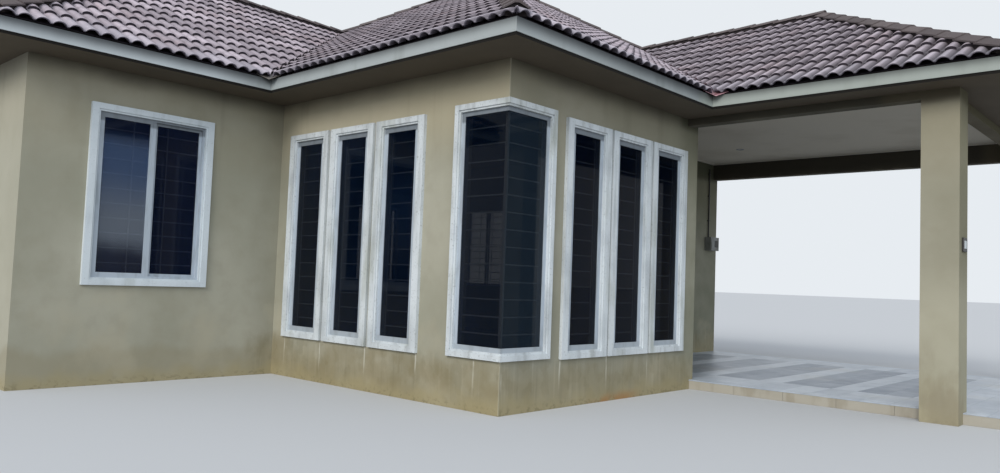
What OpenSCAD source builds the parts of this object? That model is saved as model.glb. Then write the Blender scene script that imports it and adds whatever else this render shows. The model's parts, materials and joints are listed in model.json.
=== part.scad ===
// Single-storey tropical bungalow: plastered masonry walls under a hip-and-valley tiled
// roof, a forward bay with a glazed corner, and an open porch with a raised floor.
// Plan sizes are set out from the bay's glazed corner: x runs along the bay's front,
// y runs into the house, z is height above the ground.

/* [Plan] */
// Thickness of the plastered walls
wall_t = 150; // [100:10:220]
// Width of the bay's front face
bay_w = 3615; // [3400:5:4200]
// Depth of the bay's side face, from its glazed corner back to the wing
bay_d = 3845; // [3600:5:4600]
// Width of the wing to the left of the bay
wing_w = 2945; // [2600:5:4000]
// Depth of the wing, front to back
wing_d = 6000; // [5000:50:7000]
// Width of the main house, from the bay's side face to the right-hand wall
house_w = 8200; // [7600:50:9600]
// How far the porch wall stands back from the bay's front face
porch_recess = 2090; // [1500:10:2800]

/* [Roof] */
// Slope of every roof face, degrees
roof_pitch = 30; // [22:1:36]
// Height of the tiles' top surface at their lower edge
eave_h = 3595; // [3500:5:4000]
// Height of the tile covering with its battens, measured straight down
tile_t = 100; // [70:5:120]
// Overhang from the walls to the face of the fascia
overhang = 520; // [350:10:700]
// Overhang of the fascia beyond the porch's left-hand column
porch_overhang = 356; // [250:2:500]
// How far the tiles stick out past the fascia
tile_nose = 55; // [30:5:80]
// Half the joint between two slopes' tiles at a hip, ridge or valley, under the caps
hip_joint = 6; // [3:1:20]
// Width of a ridge or hip cap
cap_w = 236; // [180:2:300]
// Rise of a cap above the line of the ridge or hip
cap_rise = 32; // [20:2:70]

/* [Eaves] */
// Height of the fascia's lower edge
fascia_h = 3398; // [3300:2:3450]
// Thickness of the fascia boards
fascia_t = 25; // [18:1:40]
// Depth of the eaves lining below the fascia's lower edge
soffit_t = 30; // [12:1:45]
// Set-back of the lining's edge behind the fascia's face
soffit_inset = 10; // [5:1:15]

/* [Porch] */
// Width of a porch column, across the porch
column_w = 326; // [250:2:450]
// Depth of a porch column, along the porch
column_d = 356; // [250:2:450]
// Distance of the columns' front faces before the bay's front face
column_front = 3035; // [2200:5:3600]
// How far the left-hand column's outer face stands inside the bay's right-hand face
column_inset = 262; // [235:1:400]
// Thickness of the porch beams
beam_t = 150; // [120:5:240]
// Height of the beams' undersides
beam_h = 3280; // [3000:5:3350]
// Height of the porch ceiling's underside
ceiling_h = 3568; // [3420:2:3650]
// Thickness of the porch ceiling boards
ceiling_t = 12; // [6:1:25]
// Width of the cornice strip round the porch ceiling
cornice_w = 60; // [30:5:100]
// Height of the porch floor
porch_floor_h = 115; // [80:5:200]
// Distance of the porch floor's front edge before the columns' front faces
porch_floor_nose = 365; // [50:5:480]
// How far the porch floor's left edge stands inside the bay's right-hand face
porch_floor_inset = 94; // [40:1:130]
// Thickness of the floor tiles, which stand proud of the riser
floor_tile_t = 12; // [8:1:20]
// Height of the floor inside the house
ground_floor_h = 150; // [100:5:250]

/* [Window surrounds] */
// How far the moulded surrounds stand proud of the wall
surround_proud = 38; // [20:1:60]
// Width of the stepped lip round the inside of a surround
lip_w = 20; // [8:1:30]
// Depth of the step down to the lip
lip_d = 14; // [5:1:20]

/* [Narrow windows] */
// Overall width of a narrow window's surround
narrow_w = 785; // [700:5:810]
// Overall height of a narrow window's surround
narrow_h = 2466; // [1800:2:2600]
// Height of the lower edge of the surround
narrow_sill = 487; // [350:1:700]
// Width of the surround's upright members
narrow_jamb = 115; // [80:1:140]
// Width of the surround's level members
narrow_head = 80; // [60:1:110]
// Distance from the glazed corner to the first surround on the bay's side face
side_group_start = 1146; // [1000:1:1200]
// Spacing of the three windows on the bay's side face
side_group_pitch = 837; // [830:1:860]
// Distance from the glazed corner to the first surround on the bay's front face
front_group_start = 880; // [860:1:900]
// Spacing of the three windows on the bay's front face
front_group_pitch = 821; // [815:1:840]

/* [Corner window] */
// Width of the corner window's surround along each face
corner_w = 696; // [600:1:760]
// Overall height of the corner window's surround
corner_h = 2480; // [1800:2:2600]
// Height of the lower edge of the corner window's surround
corner_sill = 505; // [350:1:700]
// Width of the corner surround's members
corner_face = 74; // [60:1:110]

/* [Sliding windows] */
// Overall width of a sliding window's surround
slide_w = 1374; // [1200:2:1600]
// Overall height of a sliding window's surround
slide_h = 1932; // [1200:2:2000]
// Height of the lower edge of the surround
slide_sill = 1054; // [800:2:1100]
// Width of the sliding window's upright surround members
slide_jamb = 93; // [60:1:120]
// Width of the sliding window's level surround members
slide_head = 82; // [60:1:110]
// Distance from the bay's side face to the wing's window surround
slide_offset = 942; // [500:2:1200]

/* [Frames and glass] */
// Visible width of the aluminium frames of the narrow windows
frame_w = 55; // [35:1:70]
// Visible width of the corner window's frame
corner_frame_w = 45; // [30:1:60]
// Depth of the frames into the wall
frame_d = 60; // [40:1:90]
// Visible width of a sliding window's outer frame
track_w = 25; // [15:1:40]
// Visible width of the members of the two sashes
sash_w = 30; // [20:1:45]
// Depth of a sash, front to back
sash_d = 24; // [16:1:26]
// Width of the mullion between the two sashes
mullion_w = 36; // [24:2:60]
// Thickness of the glass
glass_t = 8; // [4:1:12]
// Distance of the fixed glass behind the face of the wall
glass_set = 6; // [4:1:20]

/* [Entrance] */
// Width of the entrance opening in the porch wall
door_w = 1600; // [900:10:2000]
// Height of the entrance opening above the porch floor
door_h = 2150; // [1950:10:2400]
// Distance from the bay's inner corner to the entrance opening
door_offset = 600; // [300:10:900]
// Width of the door frame's members
door_frame_w = 60; // [40:5:90]
// Depth of the door frame
door_frame_d = 110; // [80:5:140]
// Thickness of the door leaves
leaf_t = 42; // [35:1:60]
// Depth of the sunk panels in the door leaves
panel_sink = 10; // [4:1:14]

/* [Meter box] */
// Width of the meter box on the porch wall
meter_w = 300; // [180:5:350]
// Height of the meter box
meter_h = 240; // [220:5:450]
// Depth of the meter box
meter_d = 130; // [80:5:200]
// Height of the meter box's lower edge
meter_z = 1960; // [1500:10:2200]
// Distance from the right-hand wall's outer face to the meter box
meter_inset = 140; // [100:5:400]

/* [Hidden] */

// Colours
plaster = [0.60, 0.57, 0.47];
white_plaster = [0.88, 0.90, 0.91];
aluminium = [0.86, 0.88, 0.90];
dark_glass = [0.08, 0.10, 0.14];
roof_tile = [0.55, 0.48, 0.48];
fascia_paint = [0.68, 0.72, 0.72];
lining_paint = [0.24, 0.22, 0.19];
ceiling_paint = [0.70, 0.70, 0.68];
floor_tile = [0.62, 0.65, 0.69];
concrete = [0.60, 0.59, 0.56];
door_wood = [0.36, 0.24, 0.16];
meter_grey = [0.45, 0.46, 0.46];

// Working allowances
cut = 5;            // how far cutting solids run past the faces that they cut
deep = 5000;        // depth of solids that stand for everything under a roof
far = 20000;        // how far an endless slope runs, past every eaves
cap_lap = 60;       // how far ridge caps lap over hip caps
cap_end = 10;       // how far the hip caps end inside the edge of the tiles
reach = 50;         // how far the space under a roof runs on beyond its eaves
joint = 0.5;        // joint between two neighbouring boards or frame members
sash_set = 2;       // how far the sashes stand back from their frame's two faces
slope = tan(roof_pitch);

// Outer faces of the walls and porch
house_back = bay_d + wing_d;
column_left = bay_w - column_inset;
column_right = house_w - column_w;
column_back = column_d - column_front;
// Front face of the front beam, which stands in the middle of the columns' depth
beam_front = -column_front + (column_d - beam_t) / 2;
// Where the tiles end on each side of the roof
edge_left = -wing_w - overhang - tile_nose;
edge_bay = -overhang - tile_nose;
edge_porch = column_left - porch_overhang - tile_nose;
edge_right = house_w + overhang + tile_nose;
edge_front = -column_front - overhang - tile_nose;
edge_wing = bay_d - overhang - tile_nose;
edge_back = house_back + overhang + tile_nose;
// Height of the outer walls' tops on their inner faces
plate_h = eave_h - tile_t + slope * (overhang + tile_nose + wall_t);
// The middle of the whole roof in plan lies over the origin
middle_x = (edge_left + edge_right) / 2;
middle_y = (edge_front + edge_back) / 2;
// Half the span of each roof, so the run from its eaves to its ridge
main_run = (edge_right - edge_bay) / 2;
wing_run = (edge_back - edge_wing) / 2;
porch_run = (edge_right - edge_porch) / 2;
// Front and left edges of the porch floor
floor_front = -column_front - porch_floor_nose;
porch_floor_left = bay_w - porch_floor_inset;
// Windows on the plain sides, as distances from each wall's start to its surrounds
left_windows = [(wing_d - slide_w) / 2];
right_run = house_back - porch_recess;
right_windows = [for (i = [1, 3]) right_run * i / 4 - slide_w / 2];
back_run = house_w + wing_w;
back_windows = [for (i = [1, 3, 5]) back_run * i / 6 - slide_w / 2];
side_windows = [for (i = [0:2]) side_group_start + i * side_group_pitch];
front_windows = [for (i = [0:2]) front_group_start + i * front_group_pitch];
// Size of an opening inside a surround
function inner(size, face) = size - 2 * face;
// Clear opening of a sliding window's outer frame, shared by two sashes and a mullion
slide_base = slide_sill + slide_head + track_w;
slide_open_h = inner(slide_h, slide_head + track_w);
sash_span = (inner(slide_w, slide_jamb + track_w) - mullion_w) / 2;
// Left edge and front face of each sash: the second one runs in the rear track
sashes = [[joint, sash_set],
    [sash_span + mullion_w + joint, frame_d - sash_set - sash_d]];

// Moves the finished house so that the origin is under the middle of the roof
module set_out() {
    translate([-middle_x, -middle_y, 0]) children();
}

// Four ways to face a wall: in each, x runs along the wall and y runs into it
module face_front(x, y) {
    translate([x, y, 0]) children();
}
module face_left(x, y) {
    translate([x, y, 0]) mirror([1, -1, 0]) children();
}
module face_back(x, y) {
    translate([x, y, 0]) mirror([0, 1, 0]) children();
}
module face_right(x, y) {
    translate([x, y, 0]) mirror([1, 0, 0]) mirror([1, -1, 0]) children();
}

// Roof forms

// Everything under one endless slope that rises along x from its eaves, lowered by drop
module under_slope(eaves, drop, out) {
    translate([eaves, 0, eave_h - drop]) rotate([90, 0, 0])
        linear_extrude(2 * far, center = true)
            polygon([[-out, -deep], [far, -deep], [far, slope * far], [-out, -slope * out]]);
}

// A hipped roof over a rectangle is what four slopes share
module hipped(x0, x1, y0, y1, drop = 0, out = 0) {
    intersection() {
        under_slope(x0, drop, out);
        mirror([1, 0, 0]) under_slope(-x1, drop, out);
        mirror([1, -1, 0]) under_slope(y0, drop, out);
        mirror([0, 1, 0]) mirror([1, -1, 0]) under_slope(-y1, drop, out);
    }
}

module main_form(drop = 0, out = 0) {
    hipped(edge_bay, edge_right, edge_bay, edge_back, drop, out);
}

// The wing's and the porch's roofs run on into the main roof
module wing_form(drop = 0, out = 0) {
    hipped(edge_left, edge_bay + 2 * wing_run, edge_wing, edge_back, drop, out);
}

module porch_form(drop = 0, out = 0) {
    hipped(edge_porch, edge_right, edge_front, edge_bay + 2 * porch_run, drop, out);
}

// Every wall, column and beam stops at the underside of the tiles over it
module under_main() {
    main_form(tile_t, reach);
}

module under_wing() {
    wing_form(tile_t, reach);
}

module under_porch() {
    porch_form(tile_t, reach);
}

// The back wall runs under the wing's and the main roof's slopes in one
module under_back() {
    hipped(edge_left, edge_right, edge_wing, edge_back, tile_t, reach);
}

// A flat slab of tiles on the slope that rises along x from its eaves, over a plan outline
module slope_slab(eaves, outline) {
    intersection() {
        difference() {
            under_slope(eaves, 0, 0);
            under_slope(eaves, tile_t, reach);
        }
        linear_extrude(deep + far) polygon(outline);
    }
}

// The same for slopes that rise towards -x, +y and -y: outlines stay in the plan's own x, y
function flip_x(outline) = [for (p = outline) [-p.x, p.y]];
function swap_xy(outline) = [for (p = outline) [p.y, p.x]];

module slab_from_right(outline) {
    mirror([1, 0, 0]) slope_slab(-edge_right, flip_x(outline));
}

module slab_from_front(eaves, outline) {
    mirror([1, -1, 0]) slope_slab(eaves, swap_xy(outline));
}

module slab_from_back(outline) {
    mirror([0, 1, 0]) mirror([1, -1, 0]) slope_slab(-edge_back, flip_x(swap_xy(outline)));
}

// Plan outline of the eaves, drawn in from the edge of the tiles
module eaves_outline(inset) {
    polygon([[edge_left + inset, edge_wing + inset], [edge_bay + inset, edge_wing + inset],
        [edge_bay + inset, edge_bay + inset], [edge_porch + inset, edge_bay + inset],
        [edge_porch + inset, edge_front + inset], [edge_right - inset, edge_front + inset],
        [edge_right - inset, edge_back - inset], [edge_left + inset, edge_back - inset]]);
}

// Plan outline of the walls' outer faces
module walls_outline() {
    polygon([[-wing_w, bay_d], [0, bay_d], [0, 0], [bay_w, 0], [bay_w, porch_recess],
        [house_w, porch_recess], [house_w, house_back], [-wing_w, house_back]]);
}

// Section of a cap with its narrow flat top towards -x: the sides fall about as the roof does
module cap_section() {
    half = cap_w / 2;
    edge = half / 5;
    flat = half / 6;
    polygon([[half, -half], [edge, -half], [-cap_rise, -flat], [-cap_rise, flat],
        [edge, half], [half, half]]);
}

// Level rows of caps along y and along x, which lap over the hips that they meet
module ridge_caps_y(from, length) {
    translate([from.x, from.y - cap_lap, from.z]) rotate([-90, 0, 0]) rotate([0, 0, 90])
        linear_extrude(length + 2 * cap_lap) cap_section();
}

module ridge_caps_x(from, length) {
    translate([from.x - cap_lap, from.y, from.z]) rotate([0, 90, 0])
        linear_extrude(length + 2 * cap_lap) cap_section();
}

// A row of caps down a hip towards +x and +y, from just below its top end
module hip_caps(run) {
    rotate([0, 90 + atan(slope / sqrt(2)), 45]) translate([0, 0, cap_lap / 3])
        linear_extrude(run * sqrt(2 + slope * slope)) cap_section();
}

// Height above the eaves at the end of a run up a slope
function roof_point(x, y, run) = [x, y, eave_h + slope * run];

// Ends of the ridges
main_front = roof_point(edge_bay + main_run, edge_bay + main_run, main_run);
main_back = roof_point(edge_bay + main_run, edge_back - main_run, main_run);
wing_end = roof_point(edge_left + wing_run, edge_wing + wing_run, wing_run);
wing_join = roof_point(edge_bay + wing_run, edge_wing + wing_run, wing_run);
porch_end = roof_point(edge_porch + porch_run, edge_front + porch_run, porch_run);
porch_join = roof_point(edge_porch + porch_run, edge_bay + porch_run, porch_run);

// The main roof's front right and back left hips stop where the other ridges join them
module main_cap_runs() {
    translate(main_front) {
        mirror([1, 0, 0]) mirror([0, 1, 0]) hip_caps(main_run);
        mirror([0, 1, 0]) hip_caps(main_run - porch_run);
    }
    translate(main_back) {
        hip_caps(main_run);
        mirror([1, 0, 0]) hip_caps(main_run - wing_run);
    }
    ridge_caps_y(main_front, main_back.y - main_front.y);
}

module wing_cap_runs() {
    translate(wing_end) {
        mirror([1, 0, 0]) hip_caps(wing_run);
        mirror([1, 0, 0]) mirror([0, 1, 0]) hip_caps(wing_run);
    }
    ridge_caps_x(wing_end, wing_join.x - wing_end.x);
}

module porch_cap_runs() {
    translate(porch_end) {
        mirror([0, 1, 0]) hip_caps(porch_run);
        mirror([1, 0, 0]) mirror([0, 1, 0]) hip_caps(porch_run);
    }
    ridge_caps_y(porch_end, porch_join.y - porch_end.y);
}

// Keeps caps off the tiles and inside the edge of the roof
module on_tiles() {
    difference() {
        intersection() {
            children();
            translate([0, 0, fascia_h]) linear_extrude(deep) eaves_outline(cap_end);
        }
        main_form();
        wing_form();
        porch_form();
    }
}

// Window pieces, drawn for a wall that faces the front

module window_hole(w, h, sill, jamb, head) {
    translate([jamb, -cut, sill + head])
        cube([inner(w, jamb), wall_t + 2 * cut, inner(h, head)]);
}

// A ring that stands on its edge: width, height, height of its base, members and depth
module ring(w, h, base, jamb, head, from, depth) {
    translate([0, from + depth, base]) rotate([90, 0, 0]) linear_extrude(depth)
        difference() {
            square([w, h]);
            translate([jamb, head]) square([inner(w, jamb), inner(h, head)]);
        }
}

// Moulded surround on the face of the wall, stepped down to a lip at its inside
module surround(w, h, sill, jamb, head) {
    ring(w, h, sill, jamb - lip_w, head - lip_w, -surround_proud, surround_proud);
    translate([jamb - lip_w, 0, 0])
        ring(inner(w, jamb - lip_w), inner(h, head - lip_w), sill + head - lip_w, lip_w,
            lip_w, lip_d - surround_proud, surround_proud - lip_d);
}

module narrow_surround() {
    surround(narrow_w, narrow_h, narrow_sill, narrow_jamb, narrow_head);
}
module narrow_frame() {
    translate([narrow_jamb, 0, 0])
        ring(inner(narrow_w, narrow_jamb), inner(narrow_h, narrow_head),
            narrow_sill + narrow_head, frame_w, frame_w, 0, frame_d);
}
module narrow_glass() {
    side = narrow_jamb + frame_w;
    top = narrow_head + frame_w;
    translate([side, glass_set, narrow_sill + top])
        cube([inner(narrow_w, side), glass_t, inner(narrow_h, top)]);
}
module narrow_hole() {
    window_hole(narrow_w, narrow_h, narrow_sill, narrow_jamb, narrow_head);
}
module slide_surround() {
    surround(slide_w, slide_h, slide_sill, slide_jamb, slide_head);
}
module slide_frame() {
    translate([slide_jamb, 0, 0])
        ring(inner(slide_w, slide_jamb), inner(slide_h, slide_head),
            slide_sill + slide_head, track_w, track_w, 0, frame_d);
    translate([slide_jamb + track_w, 0, 0]) {
        translate([sash_span, 0, slide_base + joint])
            cube([mullion_w, frame_d, inner(slide_open_h, joint)]);
        for (sash = sashes)
            translate([sash.x, 0, 0])
                ring(inner(sash_span, joint), inner(slide_open_h, joint),
                    slide_base + joint, sash_w, sash_w, sash.y, sash_d);
    }
}
module slide_glass() {
    edge = joint + sash_w;
    for (sash = sashes)
        translate([slide_jamb + track_w + sash_w + sash.x, sash.y + (sash_d - glass_t) / 2,
                slide_base + edge])
            cube([inner(sash_span, edge), glass_t, inner(slide_open_h, edge)]);
}
module slide_hole() {
    window_hole(slide_w, slide_h, slide_sill, slide_jamb, slide_head);
}

// Puts a child at each distance along a wall
module along(starts) {
    for (x = starts) translate([x, 0, 0]) children();
}

// L-shaped plan along both faces of the glazed corner, from a depth of front to one of back
module corner_plan(front, back, length) {
    polygon([[front, front], [length, front], [length, back], [back, back],
        [back, length], [front, length]]);
}

// Both halves of something at the glazed corner
module both_faces() {
    children();
    mirror([1, -1, 0]) children();
}

module corner_bars(front, back, length, face, base, height) {
    for (z = [base, base + height - face])
        translate([0, 0, z]) linear_extrude(face) corner_plan(front, back, length);
    both_faces() translate([length - face, front, base])
        cube([face, back - front, height]);
}

module corner_hole() {
    size = corner_w - corner_face;
    translate([-cut, -cut, corner_sill + corner_face])
        cube([size + cut, size + cut, inner(corner_h, corner_face)]);
}

// Walls

// A wall from one plan corner to the other, up to the level of the roof's wall plate
module wall(x0, y0, x1, y1) {
    translate([x0, y0, 0]) cube([x1 - x0, y1 - y0, plate_h]);
}

// Plan outline of the walls' inner faces
module inner_outline() {
    polygon([[wall_t - wing_w, bay_d + wall_t], [wall_t, bay_d + wall_t],
        [wall_t, wall_t], [bay_w - wall_t, wall_t],
        [bay_w - wall_t, porch_recess + wall_t], [house_w - wall_t, porch_recess + wall_t],
        [house_w - wall_t, house_back - wall_t], [wall_t - wing_w, house_back - wall_t]]);
}

module ground_floor() {
    color(concrete) set_out() linear_extrude(ground_floor_h) inner_outline();
}

module porch_floor() {
    color(floor_tile) set_out() difference() {
        translate([porch_floor_left, floor_front, 0])
            cube([house_w - porch_floor_left, porch_recess - floor_front, porch_floor_h]);
        translate([porch_floor_left - cut, 0, -cut])
            cube([bay_w - porch_floor_left + cut, porch_recess + cut,
                porch_floor_h + 2 * cut]);
        // The tiles stand proud of the riser below them
        translate([porch_floor_left - cut, floor_front - cut, -cut])
            cube([house_w, floor_tile_t + cut, porch_floor_h - floor_tile_t + cut]);
        translate([porch_floor_left - cut, floor_front - cut, -cut])
            cube([floor_tile_t + cut, -floor_front + cut,
                porch_floor_h - floor_tile_t + cut]);
        for (x = [column_left, column_right])
            translate([x, -column_front, -cut])
                cube([column_w, column_d, porch_floor_h + 2 * cut]);
    }
}

module bay_front_wall() {
    color(plaster) set_out() difference() {
        intersection() {
            wall(0, 0, bay_w, wall_t);
            under_main();
        }
        along(front_windows) narrow_hole();
        corner_hole();
    }
}

module bay_side_wall() {
    color(plaster) set_out() difference() {
        intersection() {
            wall(0, wall_t, wall_t, bay_d + wall_t);
            under_main();
        }
        face_left(0, 0) along(side_windows) narrow_hole();
        corner_hole();
    }
}

module bay_return_wall() {
    color(plaster) set_out() wall(bay_w - wall_t, wall_t, bay_w, porch_recess + wall_t);
}

module porch_wall() {
    color(plaster) set_out() difference() {
        wall(bay_w, porch_recess, house_w, porch_recess + wall_t);
        translate([bay_w + door_offset, porch_recess - cut, porch_floor_h])
            cube([door_w, wall_t + 2 * cut, door_h]);
    }
}

module wing_front_wall() {
    color(plaster) set_out() difference() {
        intersection() {
            wall(-wing_w, bay_d, 0, bay_d + wall_t);
            under_wing();
        }
        face_front(-slide_offset - slide_w, bay_d) slide_hole();
    }
}

module left_wall() {
    color(plaster) set_out() difference() {
        intersection() {
            wall(-wing_w, bay_d + wall_t, wall_t - wing_w, house_back - wall_t);
            under_wing();
        }
        face_left(-wing_w, bay_d) along(left_windows) slide_hole();
    }
}

module back_wall() {
    color(plaster) set_out() difference() {
        intersection() {
            wall(-wing_w, house_back - wall_t, house_w, house_back);
            under_back();
        }
        face_back(-wing_w, house_back) along(back_windows) slide_hole();
    }
}

module right_wall() {
    color(plaster) set_out() difference() {
        intersection() {
            wall(house_w - wall_t, porch_recess + wall_t, house_w, house_back - wall_t);
            under_main();
        }
        face_right(house_w, porch_recess) along(right_windows) slide_hole();
    }
}

// Porch

module column(x) {
    color(plaster) set_out() intersection() {
        wall(x, -column_front, x + column_w, column_back);
        under_porch();
    }
}

module left_column() {
    column(column_left);
}

module right_column() {
    column(column_right);
}

// A beam between two plan corners, cut to the slope of the roof over it
module beam(x0, y0, x1, y1) {
    color(plaster) set_out() intersection() {
        translate([x0, y0, beam_h]) cube([x1 - x0, y1 - y0, plate_h - beam_h]);
        under_porch();
    }
}

module left_beam() {
    beam(column_left, column_back, column_left + beam_t, 0);
}

module front_beam() {
    beam(column_left + column_w, beam_front, column_right, beam_front + beam_t);
}

module right_beam() {
    beam(house_w - beam_t, column_back, house_w, porch_recess);
}

// Level boards of one height, each from its left front corner to its right back corner
module boards(corners, base, height) {
    for (c = corners)
        translate([c[0], c[1], base]) cube([c[2] - c[0], c[3] - c[1], height]);
}

module column_footprints() {
    for (x = [column_left, column_right])
        translate([x, -column_front]) square([column_w, column_d]);
}

// Three panels between the beams and the walls, with strips of cornice below their edges
module porch_ceiling() {
    w = cornice_w;
    left = column_left + beam_t;
    right = house_w - beam_t;
    front = beam_front + beam_t;
    panels = [[column_left + column_w, front, column_right, column_back - joint],
        [left, column_back, right, 0],
        [bay_w, joint, right, porch_recess]];
    strips = [[column_left + column_w, front, column_right, front + w],
        [left, column_back, left + w, 0],
        [left + w + joint, -w, bay_w + w, 0],
        [bay_w, joint, bay_w + w, porch_recess - w - joint],
        [bay_w, porch_recess - w, right - w - joint, porch_recess],
        [right - w, column_back, right, porch_recess]];
    color(ceiling_paint) set_out() {
        boards(panels, ceiling_h, ceiling_t);
        boards(strips, ceiling_h - ceiling_t - joint, ceiling_t);
    }
}

// Eaves

module eaves_lining() {
    color(lining_paint) set_out()
        translate([0, 0, fascia_h - soffit_t]) linear_extrude(soffit_t) difference() {
            eaves_outline(tile_nose + soffit_inset);
            walls_outline();
            translate([column_left, beam_front])
                square([house_w - column_left, porch_recess - beam_front]);
            column_footprints();
        }
}

// One board to each side of the eaves, up to the tiles at its outer face
module fascia() {
    top = eave_h - tile_t + slope * tile_nose;
    t = fascia_t;
    left = edge_left + tile_nose;
    bay = edge_bay + tile_nose;
    porch = edge_porch + tile_nose;
    right = edge_right - tile_nose;
    front = edge_front + tile_nose;
    wing = edge_wing + tile_nose;
    back = edge_back - tile_nose;
    along_x = [[left, wing, bay - joint, wing + t], [bay, bay, porch - joint, bay + t],
        [porch, front, right, front + t], [left, back - t, right, back]];
    along_y = [[left, wing + t + joint, left + t, back - t - joint],
        [bay, bay + t + joint, bay + t, wing + t],
        [porch, front + t + joint, porch + t, bay + t],
        [right - t, front + t + joint, right, back - t - joint]];
    color(fascia_paint) set_out() boards(concat(along_x, along_y), fascia_h, top - fascia_h);
}

// Roof

// Each slope is a slab of its own: hips, ridges and valleys leave a joint between slabs
module main_roof() {
    g = hip_joint;
    color(roof_tile) set_out() {
        slope_slab(edge_bay, [[edge_bay, edge_bay + g], [edge_bay, edge_wing - g],
            [wing_join.x, wing_join.y - g], [main_back.x - g, main_back.y],
            [main_front.x - g, main_front.y]]);
        slab_from_front(edge_bay, [[edge_bay + g, edge_bay], [edge_porch - g, edge_bay],
            [porch_join.x - g, porch_join.y], [main_front.x, main_front.y - g]]);
        slab_from_right([[edge_right, edge_bay + g], [edge_right, edge_back - g],
            [main_back.x + g, main_back.y], [main_front.x + g, main_front.y]]);
        slab_from_back([[edge_right - g, edge_back], [edge_bay + g, edge_back],
            [main_back.x, main_back.y + g]]);
    }
}

module wing_roof() {
    g = hip_joint;
    color(roof_tile) set_out() {
        slab_from_front(edge_wing, [[edge_left + g, edge_wing], [edge_bay - g, edge_wing],
            [wing_join.x - 2 * g, wing_join.y - g], [wing_end.x, wing_end.y - g]]);
        slope_slab(edge_left, [[edge_left, edge_wing + g], [wing_end.x - g, wing_end.y],
            [edge_left, edge_back - g]]);
        slab_from_back([[edge_left + g, edge_back], [edge_bay - g, edge_back],
            [wing_join.x - 2 * g, wing_join.y + g], [wing_end.x, wing_end.y + g]]);
    }
}

module porch_roof() {
    g = hip_joint;
    color(roof_tile) set_out() {
        slope_slab(edge_porch, [[edge_porch, edge_front + g], [edge_porch, edge_bay - g],
            [porch_join.x - g, porch_join.y - 2 * g], [porch_end.x - g, porch_end.y]]);
        slab_from_front(edge_front, [[edge_porch + g, edge_front],
            [edge_right - g, edge_front], [porch_end.x, porch_end.y - g]]);
        slab_from_right([[edge_right, edge_front + g], [edge_right, edge_bay - g],
            [porch_join.x + g, porch_join.y - 2 * g], [porch_end.x + g, porch_end.y]]);
    }
}

module main_roof_caps() {
    color(roof_tile) set_out() on_tiles() main_cap_runs();
}

module wing_roof_caps() {
    color(roof_tile) set_out() difference() {
        on_tiles() wing_cap_runs();
        main_cap_runs();
    }
}

module porch_roof_caps() {
    color(roof_tile) set_out() difference() {
        on_tiles() porch_cap_runs();
        main_cap_runs();
    }
}

// Windows

module corner_surround() {
    step = corner_face - lip_w;
    color(white_plaster) set_out() {
        corner_bars(-surround_proud, 0, corner_w, step, corner_sill, corner_h);
        corner_bars(lip_d - surround_proud, 0, corner_w - step, lip_w, corner_sill + step,
            inner(corner_h, step));
    }
}

module corner_frame() {
    color(aluminium) set_out()
        corner_bars(0, frame_d, corner_w - corner_face, corner_frame_w,
            corner_sill + corner_face, inner(corner_h, corner_face));
}

module corner_glass() {
    color(dark_glass) set_out()
        translate([0, 0, corner_sill + corner_face + corner_frame_w])
            linear_extrude(inner(corner_h, corner_face + corner_frame_w))
                corner_plan(glass_set, glass_set + glass_t,
                    corner_w - corner_face - corner_frame_w);
}

module bay_side_surrounds() {
    color(white_plaster) set_out() face_left(0, 0) along(side_windows) narrow_surround();
}

module bay_side_frames() {
    color(aluminium) set_out() face_left(0, 0) along(side_windows) narrow_frame();
}

module bay_side_glass() {
    color(dark_glass) set_out() face_left(0, 0) along(side_windows) narrow_glass();
}

module bay_front_surrounds() {
    color(white_plaster) set_out() face_front(0, 0) along(front_windows) narrow_surround();
}

module bay_front_frames() {
    color(aluminium) set_out() face_front(0, 0) along(front_windows) narrow_frame();
}

module bay_front_glass() {
    color(dark_glass) set_out() face_front(0, 0) along(front_windows) narrow_glass();
}

module wing_window() {
    set_out() face_front(-slide_offset - slide_w, bay_d) children();
}

module wing_surround() {
    color(white_plaster) wing_window() slide_surround();
}

module wing_frame() {
    color(aluminium) wing_window() slide_frame();
}

module wing_glass() {
    color(dark_glass) wing_window() slide_glass();
}

// The plain windows of the left and right walls
module end_windows() {
    set_out() {
        face_left(-wing_w, bay_d) along(left_windows) children();
        face_right(house_w, porch_recess) along(right_windows) children();
    }
}

module end_surrounds() {
    color(white_plaster) end_windows() slide_surround();
}

module end_frames() {
    color(aluminium) end_windows() slide_frame();
}

module end_glass() {
    color(dark_glass) end_windows() slide_glass();
}

module back_wall_windows() {
    set_out() face_back(-wing_w, house_back) along(back_windows) children();
}

module back_surrounds() {
    color(white_plaster) back_wall_windows() slide_surround();
}

module back_frames() {
    color(aluminium) back_wall_windows() slide_frame();
}

module back_glass() {
    color(dark_glass) back_wall_windows() slide_glass();
}

// Entrance

module entrance() {
    set_out() translate([bay_w + door_offset, porch_recess, porch_floor_h]) children();
}

module door_frame() {
    color(door_wood) entrance() translate([0, door_frame_d, 0]) rotate([90, 0, 0])
        linear_extrude(door_frame_d) difference() {
            square([door_w, door_h]);
            translate([door_frame_w, -cut])
                square([inner(door_w, door_frame_w), door_h - door_frame_w + cut]);
        }
}

module entrance_door() {
    leaf_w = inner(door_w, door_frame_w) / 2;
    leaf_h = door_h - door_frame_w;
    rail = leaf_w / 6;
    panel_h = (leaf_h - 4 * rail) / 3;
    color(door_wood) entrance() for (i = [0, 1])
        translate([door_frame_w + i * leaf_w, (door_frame_d - leaf_t) / 2, 0])
            difference() {
                cube([leaf_w, leaf_t, leaf_h]);
                for (k = [0:2])
                    translate([rail, -cut, rail + k * (panel_h + rail)])
                        cube([leaf_w - 2 * rail, panel_sink + cut, panel_h]);
            }
}

module meter_box() {
    color(meter_grey) set_out()
        translate([house_w - meter_inset - meter_w, porch_recess - meter_d, meter_z])
            cube([meter_w, meter_d, meter_h]);
}

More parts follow.
